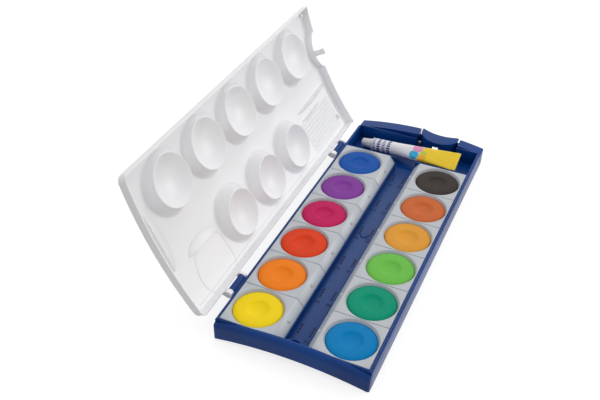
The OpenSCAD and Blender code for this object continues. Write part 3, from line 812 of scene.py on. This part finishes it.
def build_pan(i, material):
    """A pan with a rounded slope towards the channel and a round well."""
    p = pan_sizes()
    side, y0, cx, cy = pan_place(i)
    y1 = y0 + p.pitch - 2 * PAN_GAP
    floor = tray_sizes().floor
    section = [(p.near_x + p.slope_w * (1 - a), p.top - p.slope_h * (0.74 * a + 0.26 * a * a))
               for a in (k / 6 for k in range(7))]
    section += [(p.near_x, floor), (p.far_x, floor), (p.far_x, p.top)]
    bm = bmesh.new()
    bar_along(bm, [(side * x, z) for x, z in section], y0, y1)
    clean(bm)
    ends = [e for e in bm.edges if run_along(e) < 0.01 and e.calc_face_angle(0) > 1]
    ends += [e for e in bm.edges if run_along(e) > 1
             and (abs(e.verts[0].co.x) > p.far_x - 0.1
                  or abs(abs(e.verts[0].co.x) - p.near_x - p.slope_w) < 0.01)]
    round_edges(bm, ends, 0.12)
    clean(bm)
    # The round well
    top = max((f for f in bm.faces if f.normal.z > 0.99), key=lambda f: f.calc_area())
    edges = list(top.edges)
    bmesh.ops.delete(bm, geom=[top], context="FACES_ONLY")
    ring = bmesh.ops.create_circle(bm, cap_ends=False, segments=72,
                                   radius=p.well_r + 0.25)["verts"]
    bmesh.ops.translate(bm, vec=(cx, cy, p.top), verts=ring)
    loop = list({e for v in ring for e in v.link_edges})
    bmesh.ops.triangle_fill(bm, use_beauty=True, use_dissolve=False, edges=edges + loop,
                            normal=(0, 0, 1))
    for radius, z in ((p.well_r + 0.07, p.top - 0.07), (p.well_r, p.top - 0.25),
                      (p.tablet_r + 0.25, p.top - 1.6), (p.tablet_r + 0.15, p.top - 1.9),
                      (p.tablet_r + 0.15, floor + 1.1)):
        made = bmesh.ops.extrude_edge_only(bm, edges=loop)["geom"]
        verts, loop = verts_in(made), edges_in(made)
        now = math.hypot(verts[0].co.x - cx, verts[0].co.y - cy)
        bmesh.ops.scale(bm, vec=(radius / now, radius / now, 1), verts=verts,
                        space=Matrix.Translation((-cx, -cy, 0)))
        bmesh.ops.translate(bm, vec=(0, 0, z - verts[0].co.z), verts=verts)
    bmesh.ops.holes_fill(bm, edges=loop, sides=0)
    clean(bm)
    # A small oval nub on the slope, for a fingernail
    nub = bmesh.new()
    bmesh.ops.create_uvsphere(nub, u_segments=16, v_segments=10, radius=1)
    bmesh.ops.scale(nub, vec=(0.8, 1.6, 1.0), verts=nub.verts)
    bmesh.ops.rotate(nub, cent=(0, 0, 0), matrix=Matrix.Rotation(side * math.radians(38), 3, "Y"),
                     verts=nub.verts)
    bmesh.ops.translate(nub, vec=(side * (p.near_x + 1.9), cy, p.top - 2.55), verts=nub.verts)
    merge_into(bm, nub)
    name = PAN_NAMES[i]
    return finish_piece(f"pan_{name}", bm, (material,), name.replace("_", " ") + " pan",
                        (f"pan_{i + 1}",), sharp=40)


def build_tablet(i):
    """A pressed tablet with a soft dome and a dimple in its middle."""
    p = pan_sizes()
    _, _, cx, cy = pan_place(i)
    z, r, d = p.tablet_z, p.tablet_r, p.dimple_r
    section = [(0, z - 0.8), (d * 0.3, z - 0.76), (d * 0.55, z - 0.6), (d * 0.76, z - 0.32),
               (d * 0.9, z + 0.06), (d * 0.97, z + 0.33),
               (d + 0.15, z + 0.47), (d + 0.7, z + 0.56),
               (d + 2, z + 0.62), (r - 4, z + 0.6), (r - 2.6, z + 0.5), (r - 1.4, z + 0.3),
               (r - 0.6, z), (r - 0.2, z - 0.3), (r, z - 0.7), (r, 5.4), (0, 5.4)]
    bm = bmesh.new()
    spun(bm, section, (cx, cy, 0), 72)
    name = PAN_NAMES[i]
    node = f"paint_{i + 1}"
    return finish_piece(f"gouache_{name}_tablet", bm, (paint_material(i),),
                        name.replace("_", " ") + " pan", (node,), sharp=60)


# Lid

def lid_outline():
    """The outline of the lid, with the notch round the latch."""
    s, t = lid_sizes(), tray_sizes()
    w = t.half_w
    points = arc(-w + s.corner, s.near + s.corner, s.corner, 180, 270, 6)
    points += arc(w - s.corner, s.near + s.corner, s.corner, 270, 360, 6)
    c = s.far_corner
    points += arc(w - c, s.far - c, c, 0, 90, 6)
    reach = math.degrees(math.asin((s.notch_y - s.far) / s.notch_r))
    points += arc(s.notch_x, s.notch_y, s.notch_r, -reach, -180 + reach, 36)
    points += arc(-w + c, s.far - c, c, 90, 180, 6)
    return points


def lid_skin(bm):
    """The domed skin with its low walls, as one thin sheet."""
    s, t = lid_sizes(), tray_sizes()
    height = s.top - s.rim - arch_drop(t.half_w)
    part = bmesh.new()
    bottom = flat_face(part, lid_outline(), s.top - height)
    top = raised(part, bottom, height)
    rounded = list(top.edges)
    bmesh.ops.delete(part, geom=[bottom], context="FACES_ONLY")
    round_edges(part, rounded, s.edge, 5)
    cut_across(part, -t.half_w, t.half_w, 3.5)
    # The end walls reach lower than the side walls, after a short ramp
    near_ramp, far_ramp, ramp = s.near + s.skin + 1.8, s.far - s.skin - 0.2, 0.6
    for y in (near_ramp, far_ramp):
        cut_plane(part, (0, y, 0), (0, 1, 0))
    rim = s.top - height
    for v in part.verts:
        if v.co.z < rim + 0.01:
            past = max(near_ramp - v.co.y, v.co.y - far_ramp)
            v.co.z -= s.end_drop * max(0, min(1, past / ramp))
    bend_to_arch(part)
    bmesh.ops.remove_doubles(part, verts=part.verts, dist=0.002)
    bmesh.ops.recalc_face_normals(part, faces=part.faces)
    middle = max(part.faces, key=lambda f: f.calc_center_median().z)
    if middle.normal.z < 0:
        bmesh.ops.reverse_faces(part, faces=part.faces)
    bmesh.ops.solidify(part, geom=part.faces[:], thickness=s.skin)
    merge_into(bm, part)


def inside_skin(x):
    """Height of the skin's inside at x."""
    s = lid_sizes()
    return s.top - s.skin - arch_drop(x)


def lid_cup(bm, cx, cy, foot, rim):
    """A round mixing well: a sloped wall, a flat lip and a round bowl."""
    s = lid_sizes()
    mouth = rim - s.lip
    bowl = (mouth * mouth + s.depth * s.depth) / (2 * s.depth)
    # Rows of radius, share of the way to the skin, and height above that
    rows = [(foot + 2.6, 1.0, 0.3), (foot + 2.3, 1.0, 0.02), (foot + 1.6, 1.0, -0.12),
            (foot + 0.95, 1.0, -0.45), (foot + 0.5, 1.0, -0.95), (foot + 0.2, 1.0, -1.6),
            (rim + 0.1, 0.0, 0.95), (rim + 0.02, 0.0, 0.6), (rim - 0.08, 0.0, 0.3),
            (rim - 0.25, 0.0, 0.1), (rim - 0.48, 0.0, 0.0), (mouth + 0.1, 0.0, 0.02),
            (mouth - 0.12, 0.0, 0.14), (mouth - 0.32, 0.0, 0.32)]
    for k in range(13):
        r = (mouth - 0.7) * (1 - k / 12)
        rows.append((r, 0.0, s.depth - bowl + math.sqrt(bowl * bowl - r * r)))
    part = bmesh.new()
    verts = [part.verts.new((r, 0, i)) for i, (r, _, _) in enumerate(rows)]
    verts.append(part.verts.new((0, 0, len(rows))))
    verts.insert(0, verts.pop())
    edges = [part.edges.new(pair) for pair in zip(verts, verts[1:])]
    bmesh.ops.spin(part, geom=verts + edges, cent=(0, 0, 0), axis=(0, 0, 1), dvec=(0, 0, 0),
                   angle=2 * math.pi, steps=72, use_merge=True, use_normal_flip=False,
                   use_duplicate=False)
    bmesh.ops.remove_doubles(part, verts=part.verts, dist=0.0005)
    for v in part.verts:
        row = round(v.co.z)
        v.co.x += cx
        v.co.y += cy
        share, above = (1.0, 0.3) if row >= len(rows) else rows[row][1:]
        v.co.z = s.well_rim + share * (inside_skin(v.co.x) - s.well_rim) + above
    bmesh.ops.recalc_face_normals(part, faces=part.faces)
    if part.calc_volume(signed=True) < 0:
        bmesh.ops.reverse_faces(part, faces=part.faces)
    merge_into(bm, part)


def lid_bar(bm, x0, x1, y0, y1, stand, bevel):
    """A bar or rib standing on the inside of the skin."""
    part = block((x0, y0, -stand), (x1, y1, 0.3))
    low = [e for e in part.edges if max(v.co.z for v in e.verts) < 0]
    round_edges(part, low, min(bevel, (x1 - x0) * 0.45, (y1 - y0) * 0.45))
    cut_across(part, x0, x1, 4)
    for v in part.verts:
        v.co.z += inside_skin(v.co.x)
    clean(part)
    merge_into(bm, part)


def lid_swell(bm, x, y, half_x, half_y, stand):
    """A soft rib along the box on the inside of the skin, round at its ends."""
    part = bmesh.new()
    bmesh.ops.create_uvsphere(part, u_segments=32, v_segments=12, radius=1)
    for v in part.verts:
        v.co = (v.co.x * half_x, v.co.y * half_x, v.co.z * stand)
        if abs(v.co.y) > 0.001:
            v.co.y += math.copysign(half_y - half_x, v.co.y)
    bmesh.ops.translate(part, vec=(x, y, 0), verts=part.verts)
    for v in part.verts:
        v.co.z += inside_skin(v.co.x)
    clean(part)
    merge_into(bm, part)


def lid_relief(bm, along, across, place):
    """A raised form on the inside of the skin: place gives x, y and height."""
    part = bmesh.new()
    bmesh.ops.create_grid(part, x_segments=along, y_segments=across, size=1)
    made = bmesh.ops.extrude_face_region(part, geom=part.faces[:])["geom"]
    under = set(verts_in(made))
    for v in part.verts:
        x, y, stand = place((v.co.x + 1) / 2, (v.co.y + 1) / 2)
        v.co = (x, y, inside_skin(x) + (0.5 if v in under else -stand))
    clean(part)
    merge_into(bm, part)


def lid_moon(bm, start, end, bulge, stand):
    """A half-moon slope, steep along its straight side."""
    a, b = Vector(start), Vector(end)
    side = Vector((a.y - b.y, b.x - a.x)).normalized() * bulge

    def place(u, v):
        wide = math.sqrt(max(0.0, 1 - (2 * u - 1) ** 2))
        spot = a.lerp(b, u) + side * wide * v
        rise = min(1.0, v / 0.06) * (1 - v) ** 0.8
        return spot.x, spot.y, wide * rise * stand - 0.05
    lid_relief(bm, 32, 18, place)


def lid_line(bm, points, wide=0.9, stand=0.22):
    """A thin raised line along a row of points."""
    spots = [Vector(p) for p in points]

    def place(u, v):
        k = min(len(spots) - 1, round(u * (len(spots) - 1)))
        run = spots[min(k + 1, len(spots) - 1)] - spots[max(k - 1, 0)]
        side = Vector((-run.y, run.x)).normalized()
        spot = spots[k] + side * wide * (v - 0.5)
        return spot.x, spot.y, stand * math.sin(math.pi * v) - 0.05
    lid_relief(bm, len(spots) - 1, 4, place)


def lid_ear(bm, y, width):
    """An arm from the lid's wall to the hinge axis."""
    t, s = tray_sizes(), lid_sizes()
    hx, hz, r = t.hinge_x, t.hinge_z, 2.4
    around = [(hx + r * math.cos(a), hz + r * math.sin(a))
              for a in (math.radians(k) for k in range(130, 331, 20))]
    around += [(-t.half_w - 0.15, s.rim - 0.6), (-t.half_w - 0.15, s.rim),
               (-t.half_w + 0.2, s.rim), (-t.half_w + 0.2, s.rim + 4.3),
               (-t.half_w - 0.4, s.rim + 4.3)]
    part = bmesh.new()
    bar_along(part, around, y, y + width)
    clean(part)
    merge_into(bm, part)


def build_lid():
    """The lid, shaped closed and then turned open about its hinge."""
    s, t, p = lid_sizes(), tray_sizes(), pan_sizes()
    bm = bmesh.new()
    lid_skin(bm)
    for k in range(5):
        lid_cup(bm, s.outer_x, s.first_y + k * s.pitch, s.foot_r, s.well_r)
    for k in range(1, 4):
        lid_cup(bm, s.inner_x, s.first_y + k * s.pitch, s.foot_r - s.smaller,
                s.well_r - s.smaller)
    bay = t.bay_near - 1
    # Ribs to wipe a brush on, and the soft ridges beside them
    for k in range(9):
        lid_swell(bm, -t.inner + 3.1 + k * 2.9, (bay - 23 + s.far - 9) / 2, 1.2,
                  (s.far - 9 - bay + 23) / 2, 0.28)
    lid_moon(bm, (-11.5, bay - 21), (-9.6, s.far - 1.5), 3.4, 2.2)
    lid_moon(bm, (-18.4, bay - 20), (-17.4, bay + 10), 2.6, 1.6)
    lid_line(bm, [(-46, s.far - 4.4), (-12, s.far - 4.4)])
    # The shallow trough at the hinge side and the long slope at the near end
    lid_moon(bm, (-21, p.start + 49), (-20, p.start + 17.2), 7, 2.2)
    lid_moon(bm, (-19, s.near + 6.2), (20, s.near + 6.2), 7.4, 2.0)
    trough = arc(-40, p.start + 41, 9, 150, 90, 5) + arc(-28, p.start + 42.5, 7.5, 90, 0, 8)
    trough += arc(-29, p.start + 27, 8.5, 0, -60, 6) + arc(-38, p.start + 28, 13, -75, -140, 7)
    lid_line(bm, trough)
    lid_line(bm, [(-45, s.near + 7), (-45, 0), (-45, s.far - 10)])
    lid_bar(bm, 42.5, 45.5, s.far - 6, s.far - 3, 2.2, 1.0)
    lid_bar(bm, -39.5, -36.5, s.far - 10, s.far - 7, 2.2, 1.0)
    # The catch beside the latch: a tongue on the notch's wall and its tip
    notch = s.notch_y - s.notch_r
    slab(bm, (CATCH_X0, notch - 1.2, 10.1), (CATCH_X1, notch, 19.6), 0.2)
    slab(bm, (CATCH_X0, notch - 0.1, 10.5), (CATCH_X1, CATCH_TIP, 13.1), 0.2)
    # Two arms on each barrel, 0.25 off its ends, with pins that reach into it
    gap, wide, narrow, reach = BARREL_HALF + 0.25, 3.4, 2, 4.2
    for y in BARRELS:
        lid_ear(bm, y - gap - wide, wide)
        lid_ear(bm, y + gap, narrow)
        half = (reach + 0.1) / 2
        for middle in (y - gap + reach - half, y + gap - reach + half):
            spun(bm, [(0, -half), (PIN_R, -half), (PIN_R, half), (0, half)],
                 (t.hinge_x, middle, t.hinge_z), 24, axis="Y")
    angle = bpy.context.scene.paintbox_lid.angle
    hinge = Matrix.Translation((t.hinge_x, 0, t.hinge_z))
    bmesh.ops.transform(bm, verts=bm.verts,
                        matrix=hinge @ Matrix.Rotation(-angle, 4, "Y") @ hinge.inverted())
    milky = moulded_plastic("lid_milky", colour("lid"), shade(colour("lid"), 1.03), (0.32, 0.42),
                            0.06, wave=24.0, specular=0.45, subsurface=0.12,
                            glow=0.003)
    return finish_piece("lid_palette", bm, (milky,), "lid",
                        ["lid_shell"] + WELLS, bevel=0.22)


# Tube

def tube_place():
    """Turns what is shaped along +X to where the tube lies."""
    def degrees(angle, axis):
        return Matrix.Rotation(math.radians(angle), 4, axis)
    return Matrix.Translation((-31.3, 100.225, 9.6)) @ degrees(-7.4, "Z") \
        @ degrees(-6.8, "Y") @ degrees(33.4, "X")


def build_tube():
    """The tube, round at its shoulder and flat at its folded tail."""
    s = tube_sizes()
    bm = bmesh.new()
    ring = bmesh.ops.create_circle(bm, cap_ends=False, segments=48, radius=1)["verts"]
    bmesh.ops.rotate(bm, cent=(0, 0, 0), matrix=Matrix.Rotation(math.pi / 2, 3, "Y"), verts=ring)
    angles = [math.atan2(v.co.z, v.co.y) for v in ring]
    rows = [(-1.0, s.radius - 1.0), (-0.5, s.radius - 0.55), (-0.1, s.radius - 0.12),
            (0.3, s.radius)]
    rows += [(x, None) for x in [2 + k * 2.2 for k in range(30)] if x < s.long - s.fold - 1]
    rows.append((s.long - s.fold + 0.2, None))
    # It starts to flatten here, and is flat where the fold begins
    full, body = 0.3 * s.long, s.long - s.fold
    loop = list({e for v in ring for e in v.link_edges})
    current = ring
    for i, (x, radius) in enumerate(rows):
        if i:
            made = bmesh.ops.extrude_edge_only(bm, edges=loop)["geom"]
            fresh, loop = verts_in(made), edges_in(made)
            order = {}
            for v in fresh:
                order[min(range(48), key=lambda k: (v.co - current[k].co).length)] = v
            current = [order[k] for k in range(48)]
        flat = max(0.0, min(1.0, (x - full) / (body - full)))
        for v, a in zip(current, angles):
            r = radius or s.radius
            wide = max(-1.0, min(1.0, 1.7 * math.cos(a)))
            v.co = (x, (1 - flat) * r * math.cos(a) + flat * s.tail_w * wide,
                    (1 - flat) * r * math.sin(a) + flat * 0.35 * math.sin(a))
            if 0.05 < flat < 0.95:
                v.co.z += 0.10 * math.sin(0.9 * v.co.y + 0.35 * x) * math.sin(math.pi * flat)
    bmesh.ops.holes_fill(bm, edges=loop, sides=0)
    bmesh.ops.holes_fill(bm, edges=[e for e in bm.edges if len(e.link_faces) == 1], sides=0)
    bmesh.ops.recalc_face_normals(bm, faces=bm.faces)
    spun(bm, [(0, -3.4), (2.4, -3.4), (2.4, 2.9), (0, 2.9)], (-3.2, 0, 0), 32, axis="X")
    # The tail, folded over twice and crimped
    part = block((s.long - s.fold, -s.tail_w, -0.6), (s.long, s.tail_w, 0.6))
    round_edges(part, part.edges[:], 0.3)
    clean(part)
    merge_into(bm, part)
    uv = bm.loops.layers.uv.new("print")
    for face in bm.faces:
        middle = face.calc_center_median()
        base = math.atan2(middle.z, middle.y)
        for corner in face.loops:
            a = math.atan2(corner.vert.co.z, corner.vert.co.y)
            a += 2 * math.pi * round((base - a) / (2 * math.pi))
            corner[uv].uv = (corner.vert.co.x / UV_MM,
                             s.radius * (a - math.pi / 2) / UV_MM + 0.5)
    bmesh.ops.transform(bm, matrix=tube_place(), verts=bm.verts)
    return finish_piece("white_tube", bm, (tube_material(),), "tube", ("tube_body",),
                        sharp=50)


def build_cap():
    """The cap, wider at its mouth and faintly ribbed."""
    s = tube_sizes()
    bm = bmesh.new()
    z0, z1 = -1.2 - s.cap_l, -1.2
    r = s.cap_r
    section = [(0, z0 + 0.35), (r - 1.4, z0 + 0.3), (r - 1.1, z0), (r - 0.8, z0 + 0.08),
               (r - 0.55, z0 + 0.5), (r - 0.05, z1 - 1.1), (r, z1 - 0.9), (r, z1 - 0.1),
               (r - 0.1, z1), (2.5, z1), (2.5, z0 + 2.2), (0, z0 + 2.2)]

    def knurl(v):
        out = math.hypot(v.co.x, v.co.y)
        if out > r - 0.5 and z0 + 0.3 < v.co.z < z1 - 1:
            a = math.atan2(v.co.y, v.co.x)
            k = 1 - 0.05 * (0.5 - 0.5 * math.cos(24 * a))
            v.co.x *= k
            v.co.y *= k
    spun(bm, section, steps=144, axis="X", follow=knurl)
    bmesh.ops.transform(bm, matrix=tube_place(), verts=bm.verts)
    white = moulded_plastic("cap_white", colour("cap"), shade(colour("cap"), 1.05),
                            (0.35, 0.5), 0.1)
    return finish_piece("tube_screw_cap", bm, (white,), "tube cap", ("tube_cap",))


# Stage

def place_camera():
    """The camera at the photograph's viewing angle."""
    data = bpy.data.cameras.new("camera")
    data.lens = 47.20
    data.sensor_width = 36
    data.sensor_fit = "HORIZONTAL"
    data.shift_x = 0.0166
    data.shift_y = 0.0836
    data.clip_start = 0.01
    camera = put("camera", data)
    back = Vector((0.3106, -0.6921, 0.6516)).normalized()
    right = Vector((0.9091, 0.4165, 0.0090))
    right = (right - right.dot(back) * back).normalized()
    up = back.cross(right)
    turn = Matrix((right, up, back)).transposed().to_4x4()
    camera.matrix_world = Matrix.Translation((0.12309, -0.40030, 0.34589)) @ turn
    bpy.context.scene.camera = camera


def area_light(name, place, size, power):
    """A soft lamp that faces the box."""
    data = bpy.data.lights.new(name, "AREA")
    data.shape = "RECTANGLE"
    data.size, data.size_y = size
    data.energy = power
    lamp = put(name, data)
    lamp.location = place
    lamp.rotation_euler = (-Vector(place)).to_track_quat("-Z", "Y").to_euler()


# Grey of the floor as light meets it, and what brings it to white for the eye
FLOOR_GREY, FLOOR_LIFT = (0.4, 0.4, 0.4, 1), 0.76
# Where most of the surround's light comes from, and its strength away from and towards it
BRIGHT_SIDE, DIM, BRIGHT = (0.4, 0.5, 0.77), 0.58, 0.74


def white_rays(new, link):
    """1 for the rays that see the white surround, and 0 for those that light."""
    rays = new("ShaderNodeLightPath").outputs
    seen = calculate(new, link, "MAXIMUM", rays["Is Camera Ray"], rays["Is Glossy Ray"])
    return calculate(new, link, "MAXIMUM", seen.outputs[0],
                     rays["Is Transmission Ray"]).outputs[0]


def build_floor():
    """A pale floor that keeps the shadow and looks white around it."""
    bm = bmesh.new()
    bmesh.ops.create_grid(bm, x_segments=1, y_segments=1, size=6)
    mesh = bpy.data.meshes.new("floor")
    bm.to_mesh(mesh)
    bm.free()
    material, bsdf, new, link = shader("white_floor")
    lift = calculate(new, link, "MULTIPLY", white_rays(new, link), FLOOR_LIFT)
    feed(link, bsdf, {"Base Color": FLOOR_GREY, "Roughness": 1, "Specular IOR Level": 0,
                      "Emission Color": (1, 1, 1, 1), "Emission Strength": lift.outputs[0]})
    mesh.materials.append(material)
    put("floor", mesh)


def build_surround():
    """A white surround that lights a little more from above and the far right."""
    world = bpy.data.worlds.new("surround")
    bpy.context.scene.world = world
    world.use_nodes = True
    new, link = world.node_tree.nodes.new, world.node_tree.links.new
    toward = new("ShaderNodeVectorMath")
    toward.operation = "DOT_PRODUCT"
    feed(link, toward, {0: new("ShaderNodeTexCoord").outputs["Generated"], 1: BRIGHT_SIDE})
    ambient = spread(new, link, toward.outputs["Value"], DIM, BRIGHT, start=-1)
    feed(link, world.node_tree.nodes["Background"],
         {"Color": (1, 1, 1, 1), "Strength": spread(new, link, white_rays(new, link), ambient, 1)})


def build_stage():
    """The white floor, the soft light and the white surround."""
    build_floor()
    build_surround()
    area_light("back_softbox", (-0.25, 0.55, 0.75), (0.7, 0.5), 1.3)
    area_light("right_softbox", (0.8, 0.72, 0.36), (0.6, 0.5), 3.2)
    bpy.context.scene.view_settings.view_transform = "Standard"


# Operators

class PAINTBOX_OT_camera(bpy.types.Operator):
    """Places the camera"""
    bl_idname = "paintbox.camera"
    bl_label = "Camera"

    def execute(self, context):
        place_camera()
        return {"FINISHED"}


class PAINTBOX_OT_stage(bpy.types.Operator):
    """Makes the floor, the surround and the lamps"""
    bl_idname = "paintbox.stage"
    bl_label = "Stage"

    def execute(self, context):
        build_stage()
        return {"FINISHED"}


class PAINTBOX_OT_tray(bpy.types.Operator):
    """Builds the tray and the numbers on its channel floor"""
    bl_idname = "paintbox.tray"
    bl_label = "Tray"

    def execute(self, context):
        build_tray()
        channel_numbers()
        return {"FINISHED"}


class PAINTBOX_OT_latch(bpy.types.Operator):
    """Builds the thumb latch"""
    bl_idname = "paintbox.latch"
    bl_label = "Thumb latch"

    def execute(self, context):
        build_latch()
        return {"FINISHED"}


class PAINTBOX_OT_pans(bpy.types.Operator):
    """Builds the twelve pans and their paint tablets"""
    bl_idname = "paintbox.pans"
    bl_label = "Pans and paints"

    def execute(self, context):
        grey = moulded_plastic("pan_grey", colour("pan"), shade(colour("pan"), 1.05),
                               (0.32, 0.45), 0.1)
        for i in range(12):
            build_pan(i, grey)
            build_tablet(i)
        return {"FINISHED"}


class PAINTBOX_OT_lid(bpy.types.Operator):
    """Builds the lid with its mixing wells"""
    bl_idname = "paintbox.lid"
    bl_label = "Lid"

    def execute(self, context):
        build_lid()
        return {"FINISHED"}


class PAINTBOX_OT_tube(bpy.types.Operator):
    """Builds the tube of white and its cap"""
    bl_idname = "paintbox.tube"
    bl_label = "Tube"

    def execute(self, context):
        build_tube()
        build_cap()
        return {"FINISHED"}


OPERATORS = (PAINTBOX_OT_camera, PAINTBOX_OT_stage, PAINTBOX_OT_tray, PAINTBOX_OT_latch,
             PAINTBOX_OT_pans, PAINTBOX_OT_lid, PAINTBOX_OT_tube)


class PAINTBOX_PT_panel(bpy.types.Panel):
    """Lists the pieces of the paint box"""
    bl_label = "Paint box"
    bl_idname = "PAINTBOX_PT_panel"
    bl_space_type = "VIEW_3D"
    bl_region_type = "UI"
    bl_category = "Paint box"

    def draw(self, context):
        for operator in OPERATORS:
            self.layout.operator(operator.bl_idname)


CLASSES = tuple(GROUPS.values()) + OPERATORS + (PAINTBOX_PT_panel,)


def register():
    for cls in CLASSES:
        bpy.utils.register_class(cls)
    for name, group in GROUPS.items():
        setattr(bpy.types.Scene, name, bpy.props.PointerProperty(type=group))


def unregister():
    for name in GROUPS:
        delattr(bpy.types.Scene, name)
    for cls in reversed(CLASSES):
        bpy.utils.unregister_class(cls)


def main():
    register()
    bpy.ops.paintbox.camera()
    bpy.ops.paintbox.stage()
    bpy.ops.paintbox.tray()
    bpy.ops.paintbox.latch()
    bpy.ops.paintbox.pans()
    bpy.ops.paintbox.lid()
    bpy.ops.paintbox.tube()
    bpy.context.view_layer.update()


if __name__ == "__main__":
    main()
